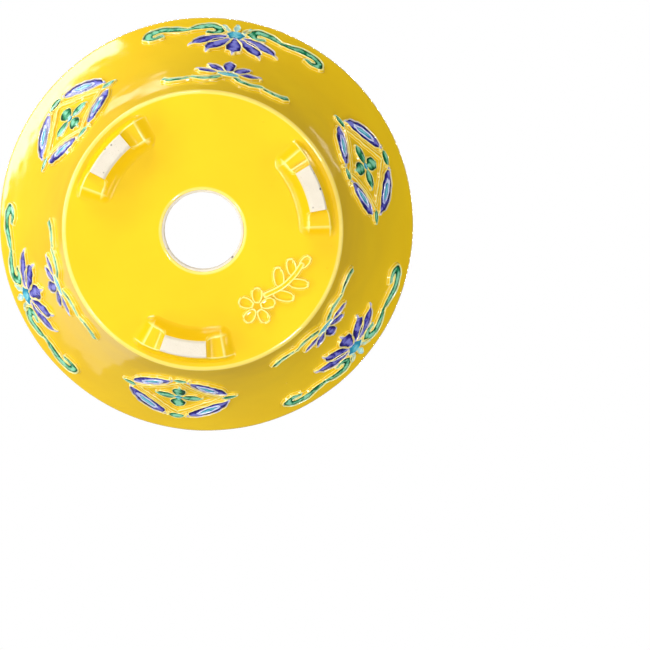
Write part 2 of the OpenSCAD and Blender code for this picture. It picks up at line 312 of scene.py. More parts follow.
def add_bowl(glaze, clay):
    section, lift = glaze_section()
    coat = revolve(section, GLAZE_COLUMNS, lift)
    body = revolve(clay_section(), CLAY_COLUMNS)
    add_piece("pot_glaze_coat", [coat], glaze, ["glaze_coat"])
    add_piece("pot_clay_body", [body], clay, ["clay_body"])


# ---- Feet ----
# Radii of a foot's root, and how far its two sides lean in over its height
ROOT_OUT = BASE_R - 1.8
ROOT_IN = ROOT_OUT - 6
TAPER_OUT = 1.1
TAPER_IN = 1.9
# Half angles of the whole foot, of its cove and of its pad
FOOT_HALF = math.radians(22.3)
STEP_HALF = math.radians(15.5)
PAD_HALF = math.radians(10.8)
SHOULDER_H = 2.6
# Height of clay left bare above the ground
PAD_BARE = 0.45
# How much of the shoulder's height is lost at its ends
SHOULDER_SAG = 0.25
# Drop for each millimetre in from an end of the foot, and the rounding of its corners
END_SLOPE = 2.4
CORNER_R = 3.5
# Widths of the soft bends between the two sides, at the shoulder and at the root
SIDE_SOFT = 0.6
SHOULDER_SOFT = 1.1
ROOT_SOFT = 2.6
# How far the skirt of a foot's glaze lies inside the glaze of the base
SKIRT_SINK = 0.05
# Thickness of a foot's glaze, in thicknesses of the base's
FOOT_GLAZE = 0.8


def soft_min(a, b, k):
    """Lesser of the two, blended where they differ by less than k."""
    mix = np.clip(0.5 + (b - a) / (2 * k), 0, 1)
    return b + (a - b) * mix - k * mix * (1 - mix)


def soft_max(a, b, k):
    """Greater of the two, blended where they differ by less than k."""
    return -soft_min(-a, -b, k)


def round_min(a, b, r):
    """Lesser of the two, with a corner of radius r where they meet."""
    return np.maximum(np.minimum(a, b), r) - np.hypot(np.maximum(r - a, 0), np.maximum(r - b, 0))


def bracket(angle):
    """Drop of a foot's outline below the base: shoulder, cove and pad."""
    a = np.abs(angle)
    out = np.clip((a - STEP_HALF) / (FOOT_HALF - STEP_HALF), 0, 1)
    cove = np.clip((STEP_HALF - a) / (STEP_HALF - PAD_HALF), 0, 1)
    step = (FOOT_H - SHOULDER_H) * (1 - np.sqrt(1 - cove ** 2))
    return SHOULDER_H * (1 - SHOULDER_SAG * out ** 2) + step


def foot_drop(angle, r):
    """Drop of the glazed foot below the base, with soft edges and a pooled root."""
    outer = (ROOT_OUT - r) / TAPER_OUT * FOOT_H
    inner = (r - ROOT_IN) / TAPER_IN * FOOT_H
    ends = (FOOT_HALF - np.abs(angle)) * (ROOT_OUT + ROOT_IN) / 2 * END_SLOPE
    hill = round_min(soft_min(outer, inner, SIDE_SOFT), ends, CORNER_R)
    drop = soft_min(hill, bracket(angle), SHOULDER_SOFT)
    return soft_max(np.minimum(drop, FOOT_H), -SKIRT_SINK + 0 * drop, ROOT_SOFT)


def graded(marks, counts):
    """Rising values through the marks, with a count for each gap between two of them."""
    runs = [np.linspace(a, b, n)[:-1] for a, b, n in zip(marks, marks[1:], counts)]
    return np.concatenate(runs + [marks[-1:]])


def foot_lines():
    """Angles and radii of the grid over a foot, close together where it is steep."""
    pad_in = ROOT_IN + TAPER_IN * (1 - PAD_BARE / FOOT_H)
    pad_out = ROOT_OUT - TAPER_OUT * (1 - PAD_BARE / FOOT_H)
    radii = graded([ROOT_IN - 1.4, ROOT_IN - 0.6, pad_in, pad_in + 0.4, pad_out - 0.4, pad_out,
                    ROOT_OUT + 0.3, edge_c[0] - 0.02], (12, 38, 8, 14, 8, 26, 12))
    degree = math.radians(1)
    half = graded([0, PAD_HALF - 0.6 * degree, PAD_HALF, PAD_HALF + 0.6 * degree,
                   FOOT_HALF - 1.2 * degree, FOOT_HALF + 0.6 * degree, FOOT_HALF + 3.2 * degree],
                  (16, 6, 10, 30, 20, 12))
    return np.concatenate([-half[:0:-1], half]), radii, pad_in, pad_out


def add_foot(i, glaze, clay):
    """One foot: its glaze, open over the pad, and the clay inside it that shows as the pad."""
    angles, radii, pad_in, pad_out = foot_lines()
    a, r = np.meshgrid(angles, radii, indexing="ij")
    azimuth = a + FIRST_FOOT + (i - 1) * TURN
    flat = np.stack([r * np.cos(azimuth), r * np.sin(azimuth), FOOT_H + 0 * a], axis=-1)
    face = flat.copy()
    drop = foot_drop(a, r)
    face[..., 2] -= drop + ripple(flat) * np.clip(1 - drop, 0, 1)
    du, dv = np.gradient(face, axis=0), np.gradient(face, axis=1)
    out = np.cross(du, dv)
    out /= np.linalg.norm(out, axis=-1, keepdims=True)
    out *= -np.sign(out[..., 2:])
    under = face - FOOT_GLAZE * GLAZE_T * out
    under[..., 2] = np.minimum(under[..., 2], FOOT_H + GLAZE_T)
    near = 1e-6
    inside = (np.abs(a) < PAD_HALF + near) & (r > pad_in - near) & (r < pad_out + near)
    pad = inside[:-1, :-1] & inside[1:, 1:]
    core = np.where(inside[..., None], face, under)
    top = flat.copy()
    top[..., 2] = FOOT_H + GLAZE_T
    close = (r[:-1, :-1] > ROOT_IN) & (r[1:, 1:] < ROOT_OUT) & (np.abs(a[:-1, :-1]) < FOOT_HALF)
    add_piece(f"pot_foot_glaze_{i}", [shell(face, under, ~pad)], glaze,
              [f"foot_glaze_{i}"])
    add_piece(f"pot_foot_{i}", [shell(core, top, close)], clay, [f"foot_{i}"])


# ---- Reliefs ----
# A motif is drawn flat in millimetres, x to the right as seen from outside and v up the
# slope of the wall. A stroke is a list of [x, v, half width].
# Length of the wall from base to lip in those drawings
MOTIF_SLANT = 35.5
MEDALLION_V = 19
MEDALLION_R = 9.9
# How far a hand-drawn line strays, in each of its two waves
STRAY = 0.06
# Rings of a swept line in each gap between two points of its stroke, and in its rounded end
STEPS = 6
END_STEPS = 6
# Least radius that the inner side of a curl is drawn in to
CURL_R = 0.8
unit = slant / MOTIF_SLANT
motif_r = wall_point(base_lean + MEDALLION_V * unit / bend_r)[0]


def hand(p, phase):
    """Points of a motif, moved by up to 0.12 mm each way as a hand-drawn line strays."""
    x, v = p[..., 0], p[..., 1]
    return p + STRAY * np.stack([
        np.sin(1.9 * v + 0.7 * x + phase) + np.sin(3.1 * x - 1.3 * v + 2 * phase),
        np.sin(2.3 * x - 0.9 * v + 3 * phase) + np.sin(1.1 * x + 2.7 * v + phase)], axis=-1)


def on_wall(azimuth):
    """Places motif points at a height above the wall, round an azimuth."""
    def place(p, h):
        p = hand(p, 2 * azimuth)
        lean = base_lean + p[..., 1] * unit / bend_r
        s = wall_point(lean, h)
        around = azimuth + p[..., 0] * unit / motif_r
        return np.stack([s[..., 0] * np.cos(around), s[..., 0] * np.sin(around), s[..., 1]], axis=-1)
    return place


def on_base(azimuth, reach, spin):
    """Places motif points below the base, round a point on it, turned by spin."""
    middle = reach * np.array([math.cos(azimuth), math.sin(azimuth)])
    c, s = math.cos(azimuth + spin), math.sin(azimuth + spin)

    def place(p, h):
        x, y = p[..., 0] * c - p[..., 1] * s, p[..., 0] * s + p[..., 1] * c
        return np.stack([middle[0] + x, middle[1] + y, FOOT_H - h + 0 * x], axis=-1)
    return place


def smooth(stroke):
    """Points along the Catmull-Rom curve through a stroke."""
    p = np.array(stroke, float)
    p = np.concatenate([[2 * p[0] - p[1]], p, [2 * p[-1] - p[-2]]])
    p[0, 2], p[-1, 2] = p[1, 2], p[-2, 2]
    t = np.linspace(0, 1, STEPS, endpoint=False)[:, None]
    rows = []
    for a, b, c, d in zip(p[:-3], p[1:-2], p[2:-1], p[3:]):
        rows.append((2 * b + (c - a) * t + (2 * a - 5 * b + 4 * c - d) * t ** 2
                     + (3 * b - a - 3 * c + d) * t ** 3) / 2)
    return np.concatenate(rows + [p[-2:-1]])


def course(stroke, start_reach, end_reach):
    """Centres, left-hand directions, half widths and a share that falls to 0 past both ends."""
    q = smooth(stroke)
    way = np.gradient(q[:, :2], axis=0)
    way /= np.linalg.norm(way, axis=1)[:, None]
    centre, width, share = q[:, :2], q[:, 2], np.ones(len(q))
    t = np.linspace(0, 1, END_STEPS + 1)[1:]
    for reach, first in ((start_reach, True), (end_reach, False)):
        at = 0 if first else -1
        turn = np.sin(t * math.pi / 2)
        step = (-1 if first else 1) * way[at] * reach * turn[:, None]
        tip = centre[at] + step
        faded = np.cos(t * math.pi / 2)
        held = np.repeat(way[at][None], len(t), axis=0)
        order = slice(None, None, -1) if first else slice(None)
        parts = [(tip, centre), (held, way), (width[at] * faded, width), (faded, share)]
        parts = [(x[order], y) if first else (y, x) for x, y in parts]
        centre, way, width, share = (np.concatenate(pair) for pair in parts)
    left = np.stack([-way[:, 1], way[:, 0]], axis=1)
    return centre, left, width, share


def rings(stroke_course, across, high, place):
    """Grid of points over a course; across and high are [ring, point] in millimetres."""
    centre, left, _, _ = stroke_course
    way = np.gradient(centre, axis=0)
    long = np.maximum(np.linalg.norm(way, axis=1), 1e-6)
    heading = np.unwrap(np.arctan2(way[:, 1], way[:, 0]))
    curve = np.gradient(heading) / long
    curve = np.convolve(np.pad(curve, 2, mode="edge"), np.ones(5) / 5, mode="valid")
    limit = (CURL_R / np.maximum(np.abs(curve), 1e-3))[:, None]
    inner = across * np.sign(curve)[:, None] > limit
    across = np.where(inner, np.sign(curve)[:, None] * limit, across)
    p = centre[:, None] + left[:, None] * across[..., None]
    return place(p, high)


def loft(grid):
    """Closed solid through a row of closed rings, with fanned ends."""
    n, m = grid.shape[:2]
    i, j = np.meshgrid(np.arange(n - 1), np.arange(m), indexing="ij")
    j2 = (j + 1) % m
    sides = np.stack([i * m + j, (i + 1) * m + j, (i + 1) * m + j2, i * m + j2], axis=-1).reshape(-1, 4)
    points = grid.reshape(-1, 3)
    first, last = np.arange(m), np.arange(m) + (n - 1) * m
    caps = [tuple(first), tuple(last[::-1])]
    outward = facing_out(points, sides)
    if not np.array_equal(outward, sides):
        caps = [c[::-1] for c in caps]
    return points, [tuple(f) for f in outward] + caps


# Depth of a relief's foot under the face of the glaze
SINK = 0.15
# Half width of a stroke from which the recess in it has its full depth
FULL_RECESS = 0.3
# How stained a line is at its brow, from 0 outside it to 1 in its recess
BROW_STAIN = 0.6


def ridge(stroke, place, wide=0.72, tall=0.55, floor=0.06, start=0.5, end=1.0):
    """Raised line round a stroke, with a recess in the middle: its mesh, and how stained it is.

    wide and tall are the line's own width and height, floor is the height of the recess,
    and start and end are how far the line runs past the ends of the stroke.
    """
    run = course(stroke, start, end)
    _, _, width, share = run
    w, k = width[:, None], share[:, None]
    flank = np.linspace(0, 1, 6)[None]
    brow = np.linspace(0, 1, 5)[None, 1:]
    deep = np.clip(w / FULL_RECESS, 0, 1) * k
    outer = (w + wide * k * (1 - flank / 2), k * tall * np.sin(math.pi / 2 * flank) ** 2)
    inner = (w + wide * k * (1 - brow) / 2,
             k * (tall - (tall - floor) * deep * np.sin(math.pi / 2 * brow) ** 2))
    across = np.concatenate([outer[0][:, :1], outer[0], inner[0], 0 * w], axis=1)
    high = np.concatenate([0 * w - SINK, outer[1] - 0.02, inner[1], inner[1][:, -1:]], axis=1)
    across = np.concatenate([across, -across[:, -2::-1]], axis=1)
    high = np.concatenate([high, high[:, -2::-1]], axis=1)
    stain_half = np.concatenate([0 * w, BROW_STAIN * flank ** 2 * k,
                                 BROW_STAIN + (1 - BROW_STAIN) * brow + 0 * k, 1 + 0 * w], axis=1)
    stain = np.concatenate([stain_half, stain_half[:, -2::-1]], axis=1)
    return loft(rings(run, across, high, place)), stain.ravel()


# How much higher enamel stands in its middle than at its edge
CROWN = 0.12
# Half width from which it stands that high
FULL_CROWN = 0.8
# How far enamel reaches under the line beside it, in widths of that line
UNDERLAP = 0.24


def fill(stroke, place, wide=0.72, tall=0.55, floor=0.06, start=0.15, end=0.15):
    """Enamel in the recess of a ridge: its mesh, and 0 in the middle to 1 at its edge."""
    run = course(stroke, start, end)
    _, _, width, share = run
    over = (width + UNDERLAP * wide * share)[:, None]
    level = (tall + floor) / 2 + 0.03
    across = np.linspace(-1, 1, 11)[None]
    high = level + CROWN * (1 - across ** 2) * np.clip(over / FULL_CROWN, 0.3, 1)
    high = high * np.clip(share[:, None] * 3, 0.2, 1)
    across_all = np.concatenate([across, [[1, -1]]], axis=1)
    high = np.concatenate([high, 0 * over - SINK + np.zeros((1, 2))], axis=1)
    edge = np.concatenate([across ** 2 + 0 * over, 1 + 0 * over + np.zeros((1, 2))], axis=1)
    edge = np.maximum(edge, 1 - share[:, None])
    return loft(rings(run, over * across_all, high, place)), edge.ravel()


def flipped(stroke):
    """The stroke mirrored left to right."""
    return [[-x, v, w] for x, v, w in stroke]


def both(*strokes):
    """Each stroke and its mirror image."""
    return [s for stroke in strokes for s in (stroke, flipped(stroke))]


def turned(stroke, angle, v=0.0):
    """The stroke turned round the origin, then raised by v."""
    c, s = math.cos(angle), math.sin(angle)
    return [[x * c - y * s, x * s + y * c + v, w] for x, y, w in stroke]


# Half width at the very end of a petal or leaf
LENS_TIP = 0.08


def lens(start, end, wide, fullness=0.7, widest=0.5, arch=0.0, n=8):
    """Petal or leaf of n points between two others: pointed at fullness 1, round at 0.5.

    wide is its half width, widest is where along it that is, and arch bends it sideways.
    """
    start, end = np.array(start, float), np.array(end, float)
    side = np.array([start[1] - end[1], end[0] - start[0]]) / np.linalg.norm(end - start)
    shape = []
    for t in np.linspace(0, 1, n):
        skewed = t ** (math.log(0.5) / math.log(widest))
        swell = 4 * skewed * (1 - skewed)
        x, v = start + (end - start) * t + side * arch * 4 * t * (1 - t)
        shape.append([x, v, max(wide * swell ** fullness, LENS_TIP)])
    return shape


# Lotus panel under the lip
RIM_PETALS = [lens((0, 27.3), (0, 21.5), 1.25, 0.5, 0.62, n=11)] + both(
    lens((1.0, 27.1), (4.9, 22.0), 1.2, 0.6, 0.55, 0.3),
    lens((1.6, 28.0), (7.8, 24.7), 1.1, 0.6, 0.5, 0.25))
RIM_HEART = [[[0, 30.2, 0.9], [0, 29.1, 1.5], [0, 28.1, 0.9]]]
RIM_CROWN = [lens((0, 30.6), (0, 32.8), 0.35)] + both(lens((1.3, 30.2), (2.2, 32.1), 0.35))
RIM_VINES = both(
    [[5.0, 29.4, 0.3], [3.5, 29.3, 0.5], [2.8, 30.6, 0.65], [3.9, 31.9, 0.75], [5.8, 31.7, 0.8],
     [8.1, 30.7, 0.35]],
    [[8.3, 30.6, 0.35], [10.3, 31, 0.7], [12.6, 31.8, 0.8], [15, 31.5, 0.75],
     [15.6, 30.1, 0.6], [14.5, 29.2, 0.5], [13.2, 29.5, 0.3]])
# Lotus panel above the base
BASE_PETALS = [lens((0, 11.1), (0, 16.0), 1.0, 0.5, 0.6, n=11)] + both(
    lens((1.2, 11.2), (4.1, 14.3), 0.85, 0.6, 0.55),
    lens((2.4, 10.6), (6.6, 12.0), 0.7, 0.65, 0.5, -0.2))
BASE_HEART = [[[-2.2, 10, 0.35], [0, 9.9, 1.0], [2.2, 10, 0.35]]]
BASE_VINES = both(
    [[1.6, 8.5, 0.35], [3.4, 7.1, 0.6], [5.6, 6.7, 0.6], [8.2, 7.8, 0.3]],
    [[7.9, 7.5, 0.3], [10.4, 7, 0.55], [12.8, 7.5, 0.6], [14.4, 8.9, 0.35]])

# Medallion, drawn round its own middle and turned to each place in it
QUARTERS = [k * math.pi / 2 for k in range(4)]
EIGHTH = math.pi / 4
PETAL_ENDS = math.radians(33)
PETAL_END_R = MEDALLION_R - 0.1
tip_x, tip_y = PETAL_END_R * math.cos(PETAL_ENDS), PETAL_END_R * math.sin(PETAL_ENDS)
MEDALLION_PETAL = lens((tip_x, -tip_y), (tip_x, tip_y), 1.5, 0.7, 0.5, -0.25)
PETAL_EYE = lens((MEDALLION_R - 1.6, -2.7), (MEDALLION_R - 1.6, 2.7), 0.5, 0.7)
PETAL_CORE = lens((MEDALLION_R - 1.6, -1.9), (MEDALLION_R - 1.6, 1.9), 0.42, 0.7)
TALL_LEAF = lens((0.7, 0), (5.0, 0), 1.2, 0.55, 0.55, n=11)
WIDE_LEAF = lens((0.7, 0), (4.5, 0), 1.3, 0.65)
TOP_KNOT = lens((MEDALLION_R, -1.4), (MEDALLION_R, 1.4), 0.85, 0.6)
SIDE_KNOT = lens((MEDALLION_R - 0.9, 0), (MEDALLION_R + 1.7, 0), 0.65, 0.6, 0.4)
FRAME_SIDE = [[8, 0.45, 0.1], [5.8, 2.3, 0.1], [4, 4, 0.1], [2.3, 5.8, 0.1], [0.45, 8, 0.1]]
BEAD = lens((-0.6, 0), (0.6, 0), 0.45, 0.5)
KNOT_BEAD = lens((MEDALLION_R - 0.7, 1.8), (MEDALLION_R + 0.1, 2.0), 0.2, 0.5)


def round_medallion(stroke, angles):
    """Copies of a stroke at those angles round the middle of a medallion."""
    return [turned(stroke, a, MEDALLION_V) for a in angles]


def add_enamel(name, strokes, place, enamel, slot, replaced, **form):
    """One piece of enamel that fills all the strokes."""
    made = [fill(s, place, **form) for s in strokes]
    add_piece(name, [m for m, _ in made], enamel, replaced, {"edge": [e for _, e in made]})


def add_lines(name, strokes, place, glaze, slot="yellow_glaze", replaced=(), **form):
    """One piece with the raised lines round all the strokes."""
    made = [ridge(s, place, **form) for s in strokes]
    add_piece(name, [m for m, _ in made], glaze, replaced, {"stain": [e for _, e in made]})


def add_lotuses(i, looks):
    """Both lotus panels of one side: first their enamels, then the lines round them."""
    place = on_wall(FIRST_LOTUS + (i - 1) * TURN)
    violet, turquoise, green = looks["violet"], looks["turquoise"], looks["green"]
    add_enamel(f"pot_rim_lotus_petals_{i}", RIM_PETALS, place, violet, "violet_enamel",
               [f"rim_lotus_petals_{i}"])
    add_enamel(f"pot_rim_lotus_heart_{i}", RIM_HEART, place, turquoise, "turquoise_enamel",
               [f"rim_lotus_heart_{i}"])
    add_enamel(f"pot_rim_vines_{i}", RIM_VINES, place, green, "green_enamel", [f"rim_vines_{i}"])
    add_enamel(f"pot_base_lotus_petals_{i}", BASE_PETALS, place, violet, "violet_enamel",
               [f"base_lotus_petals_{i}"])
    add_enamel(f"pot_base_lotus_heart_{i}", BASE_HEART, place, turquoise, "turquoise_enamel",
               [f"base_lotus_heart_{i}"])
    add_enamel(f"pot_base_vines_{i}", BASE_VINES, place, green, "green_enamel", [f"base_vines_{i}"])
    add_lines(f"pot_rim_petal_lines_{i}", RIM_PETALS, place, looks["lavender_line"])
    add_lines(f"pot_rim_heart_line_{i}", RIM_HEART, place, looks["aqua_line"])
    add_lines(f"pot_rim_crown_{i}", RIM_CROWN, place, looks["aqua_line"], wide=0.5)
    add_lines(f"pot_rim_vine_lines_{i}", RIM_VINES, place, looks["mint_line"], end=0.6)
    add_lines(f"pot_base_petal_lines_{i}", BASE_PETALS, place, looks["lavender_line"])
    add_lines(f"pot_base_heart_line_{i}", BASE_HEART, place, looks["aqua_line"], end=0.5)
    add_lines(f"pot_base_vine_lines_{i}", BASE_VINES, place, looks["mint_line"], end=0.6)


def add_medallion(i, looks):
    """Medallion over one foot: petals with ringed cores, a flower, four knots and a frame."""
    place = on_wall(FIRST_FOOT + (i - 1) * TURN)
    diagonals = [a + EIGHTH for a in QUARTERS]
    petals = round_medallion(MEDALLION_PETAL, diagonals)
    eyes = round_medallion(PETAL_EYE, diagonals)
    cores = round_medallion(PETAL_CORE, diagonals)
    beads = round_medallion(BEAD, [0])
    across, upright = [QUARTERS[0], QUARTERS[2]], [QUARTERS[1], QUARTERS[3]]
    leaves = (round_medallion(WIDE_LEAF, across) + round_medallion(TALL_LEAF, upright)
              + round_medallion(SIDE_KNOT, across) + round_medallion(TOP_KNOT, upright))
    add_enamel(f"pot_medallion_petals_{i}", petals, place, looks["violet"], "violet_enamel",
               [f"medallion_petals_{i}"])
    add_lines(f"pot_medallion_petal_rings_{i}", eyes, place, looks["lavender_ring"], "violet_enamel",
              wide=0.5, tall=0.66, floor=0.4, start=0.5, end=0.5)
    add_enamel(f"pot_medallion_cores_{i}", cores + beads, place, looks["turquoise"], "turquoise_enamel",
               [f"medallion_cores_{i}"], wide=0.3, tall=0.62, floor=0.4)
    add_enamel(f"pot_medallion_leaves_{i}", leaves, place, looks["green"], "green_enamel",
               [f"medallion_leaves_{i}"])
    add_lines(f"pot_medallion_petal_lines_{i}", petals, place, looks["lavender_line"], end=0.5)
    add_lines(f"pot_medallion_leaf_lines_{i}", leaves + beads, place, looks["mint_line"],
              wide=0.5, tall=0.42, end=0.5)
    frame_lines = round_medallion(FRAME_SIDE, QUARTERS) + round_medallion(KNOT_BEAD, upright)
    frame_lines += round_medallion([[x, -y, w] for x, y, w in KNOT_BEAD], upright)
    add_lines(f"pot_medallion_frame_{i}", frame_lines, place, looks["plain_line"],
              replaced=[f"medallion_frame_{i}"], wide=0.6, tall=0.5)


SPRIG_AZIMUTH = math.radians(31)
SPRIG_SPIN = math.radians(-75)


def add_sprig(looks):
    """Sprig of blossom in relief under the base, where a potter's mark would be."""
    reach = (BASE_R + DRAIN_R) / 2 + 1
    place = on_base(SPRIG_AZIMUTH, reach, SPRIG_SPIN)
    petal = lens((0.9, 0), (3.5, 0), 0.6, 0.5, 0.6)
    blossom = [turned(petal, math.radians(72 * k + 18)) for k in range(5)]
    blossom = [[[x - 4.6, y + 0.4, w] for x, y, w in s] for s in blossom]
    stem = [[-2.2, -0.55, 0.02], [1.6, 0.0, 0.02], [5, -0.5, 0.02], [7.4, -1.4, 0.02]]

    def leaf(x, y, long, wide, angle):
        """Leaf that starts at x, y and points along an angle in degrees."""
        shape = turned(lens((0.3, 0), (long - 0.3, 0), wide / 2 - 0.25, 0.6), math.radians(angle))
        return [[x + a, y + b, w] for a, b, w in shape]

    leaves = [leaf(-0.6, 0, 4.4, 1.7, 48), leaf(1.2, 0, 4.2, 1.7, -62), leaf(3, 0, 4.2, 1.6, 40),
              leaf(4.6, -0.4, 3.6, 1.5, -66), leaf(6.6, -1, 3, 1.3, -14)]
    add_lines("pot_base_sprig", blossom + leaves + [stem], place, looks["plain_line"],
              replaced=["base_sprig"], wide=0.75, tall=0.6, floor=0.2, start=0.25, end=0.35)


# ---- Materials ----
def linear(red, green, blue):
    """Scene colour of a display colour from 0 to 255."""
    def one(c):
        c /= 255
        return c / 12.92 if c <= 0.04045 else ((c + 0.055) / 1.055) ** 2.4
    return (one(red), one(green), one(blue), 1)


class Nodes:
    """A new glossy or matt material, and short names for the nodes it is made of."""

    def __init__(self, name, roughness):
        self.material = bpy.data.materials.new(name)
        self.material.use_nodes = True
        self.tree = self.material.node_tree
        self.shader = self.tree.nodes["Principled BSDF"]
        self.shader.inputs["Roughness"].default_value = roughness
        self.place = self.tree.nodes.new("ShaderNodeTexCoord").outputs["Object"]

    def link(self, source, socket):
        self.tree.links.new(source, socket)

    def noise(self, scale, detail=2.0, distortion=0.0):
        """Noise from 0 to 1; scale is in features per metre."""
        node = self.tree.nodes.new("ShaderNodeTexNoise")
        node.inputs["Scale"].default_value = scale
        node.inputs["Detail"].default_value = detail
        node.inputs["Distortion"].default_value = distortion
        self.link(self.place, node.inputs["Vector"])
        return node.outputs["Fac"]

    def spots(self, scale, size):
        """1 inside small scattered spots and 0 between them."""
        node = self.tree.nodes.new("ShaderNodeTexVoronoi")
        node.inputs["Scale"].default_value = scale
        self.link(self.place, node.inputs["Vector"])
        return self.ramp(node.outputs["Distance"], [(size * 0.6, 1), (size, 0)])

    def attribute(self, name):
        """Number that each point of the mesh carries under that name."""
        node = self.tree.nodes.new("ShaderNodeAttribute")
        node.attribute_name = name
        return node.outputs["Fac"]

    def ramp(self, value, stops):
        """Colour or grey ramp over (position, colour) stops."""
        node = self.tree.nodes.new("ShaderNodeValToRGB")
        self.link(value, node.inputs["Fac"])
        marks = node.color_ramp.elements
        for k, (at, colour) in enumerate(stops):
            mark = marks[k] if k < 2 else marks.new(at)
            mark.position = at
            mark.color = colour if hasattr(colour, "__len__") else (colour, colour, colour, 1)
        return node.outputs["Color"]

    def mix(self, share, a, b):
        """Colour a, going to colour b as share goes to 1."""
        node = self.tree.nodes.new("ShaderNodeMix")
        node.data_type = "RGBA"
        for value, socket in ((share, node.inputs[0]), (a, node.inputs[6]), (b, node.inputs[7])):
            if isinstance(value, bpy.types.NodeSocket):
                self.link(value, socket)
            else:
                socket.default_value = value
        return node.outputs[2]

    def math(self, kind, a, b):
        """Result of a Math node of that kind; a and b are sockets or numbers."""
        node = self.tree.nodes.new("ShaderNodeMath")
        node.operation = kind
        for value, socket in ((a, node.inputs[0]), (b, node.inputs[1])):
            if isinstance(value, bpy.types.NodeSocket):
                self.link(value, socket)
            else:
                socket.default_value = value
        return node.outputs[0]

    def finish(self, colour, bump, depth, roughness=None):
        """Sets the colour, and a bump of that depth in metres."""
        self.link(colour, self.shader.inputs["Base Color"])
        if roughness is not None:
            self.link(roughness, self.shader.inputs["Roughness"])
        node = self.tree.nodes.new("ShaderNodeBump")
        node.inputs["Distance"].default_value = depth
        self.link(bump, node.inputs["Height"])
        self.link(node.outputs["Normal"], self.shader.inputs["Normal"])
        return self.material


# Colours of the glaze where it is even; in hollows, where it pools and where shade is painted; and on
# crests, where it thins and where a highlight is painted
YELLOW = (0.88, 0.58, 0.006, 1)
AMBER = (0.80, 0.45, 0.003, 1)
PALE_GLAZE_AND_HIGHLIGHT = (0.95, 0.86, 0.28, 1)
# Colours of the clay, of its fine grains and of its specks
CLAY_DARK = (0.64, 0.57, 0.45, 1)
CLAY_LIGHT = (0.76, 0.70, 0.59, 1)
GRAIN = (0.52, 0.42, 0.30, 1)
SPECK = (0.09, 0.07, 0.05, 1)
GLASS_IOR = 1.6


def glazed(name, stain=None):
    """Glossy yellow glaze with pinholes: paler on crests, where it thins and with a painted highlight;
    deeper in hollows, where it pools and with painted shade.

    stain is the colour that the enamel beside a raised line gives to it.
    """
    n = Nodes(name, 0.09)
    n.shader.inputs["IOR"].default_value = GLASS_IOR
    cloud = n.ramp(n.noise(70, 3), [(0.3, 0), (0.75, 0.35)])
    colour = n.mix(cloud, YELLOW, AMBER)
    # Hollows go deeper amber: partly glaze pooled there, partly painted shade.
    colour = n.mix(n.math("MULTIPLY", n.attribute("hollow"), 0.8), colour, AMBER)
    # Crests go pale, towards white: partly glaze thinned there, partly a painted highlight along edges
    # and raised lines.
    colour = n.mix(n.ramp(n.attribute("crest"), [(0.12, 0), (0.55, 0.85)]), colour, PALE_GLAZE_AND_HIGHLIGHT)
    if stain is not None:
        ragged = n.ramp(n.noise(900, 2), [(0.3, 0.6), (0.7, 1)])
        amount = n.math("MULTIPLY", n.attribute("stain"), ragged)
        colour = n.mix(n.ramp(amount, [(0.4, 0), (0.75, 0.9)]), colour, stain)
    pits = n.spots(160, 0.035)
    colour = n.mix(n.math("MULTIPLY", pits, 0.25), colour, AMBER)
    wave = n.math("SUBTRACT", n.noise(160, 1), n.math("MULTIPLY", pits, 0.3))
    rough = n.ramp(n.noise(400, 2), [(0.3, 0.06), (0.8, 0.14)])
    return n.finish(colour, wave, 0.00012, rough)


def enamelled(name, deep, mid, light):
    """Glossy uneven enamel, deep in colour at its edges and light in the middle."""
    n = Nodes(name, 0.08)
    n.shader.inputs["IOR"].default_value = GLASS_IOR
    uneven = n.ramp(n.noise(600, 3, 0.6), [(0.3, 0), (0.7, 0.8)])
    share = n.math("ADD", n.attribute("edge"), n.math("SUBTRACT", uneven, 0.35))
    colour = n.ramp(share, [(0.0, light), (0.35, mid), (0.7, deep)])
    rough = n.ramp(n.noise(900, 2), [(0.3, 0.05), (0.8, 0.13)])
    return n.finish(colour, n.noise(500, 2), 0.00006, rough)


def bisque(name):
    """Unglazed off-white clay, matt and gritty, with fine dark specks."""
    n = Nodes(name, 0.85)
    body = n.mix(n.noise(220, 4), CLAY_DARK, CLAY_LIGHT)
    fine = n.spots(1400, 0.16)
    dark = n.spots(330, 0.11)
    colour = n.mix(n.math("MULTIPLY", fine, 0.25), body, GRAIN)
    colour = n.mix(n.math("MULTIPLY", dark, 0.95), colour, SPECK)
    grit = n.math("ADD", n.noise(2600, 4), n.math("MULTIPLY", fine, -0.5))
    return n.finish(colour, grit, 0.00012)


def make_looks():
    lavender = linear(176, 178, 232)
    mint = linear(168, 222, 196)
    aqua = linear(170, 226, 232)
    return {
        "glaze": glazed("yellow_glaze"),
        "clay": bisque("bare_clay"),
        "plain_line": glazed("yellow_relief"),
        "lavender_line": glazed("lavender_stained_relief", lavender),
        "mint_line": glazed("mint_stained_relief", mint),
        "aqua_line": glazed("aqua_stained_relief", aqua),
        "violet": enamelled("violet_enamel", linear(24, 14, 96), linear(54, 48, 156),
                            linear(130, 132, 218)),
        "turquoise": enamelled("turquoise_enamel", linear(40, 140, 176), linear(70, 180, 206),
                               linear(140, 214, 222)),
        "green": enamelled("green_enamel", linear(0, 70, 40), linear(20, 134, 84),
                           linear(140, 216, 178)),
        "lavender_ring": enamelled("lavender_enamel", linear(150, 154, 222), linear(178, 184, 230),
                                   linear(208, 218, 240)),
    }


# ---- Stage, light and camera, in metres ----
FLOOR_RADIUS = 6
# How far the floor lies below the pads
FLOOR_GAP = 0.00008
FLOOR_COLOUR = (0.80, 0.80, 0.79, 1)
# Way to the brightest side of the room, and how far towards and away from it the tone changes
ROOM_TOWARDS = (-0.6, 0.25, -0.75)
ROOM_REACH = 0.8
ROOM_DIM = 0.07
ROOM_BRIGHT = 0.40
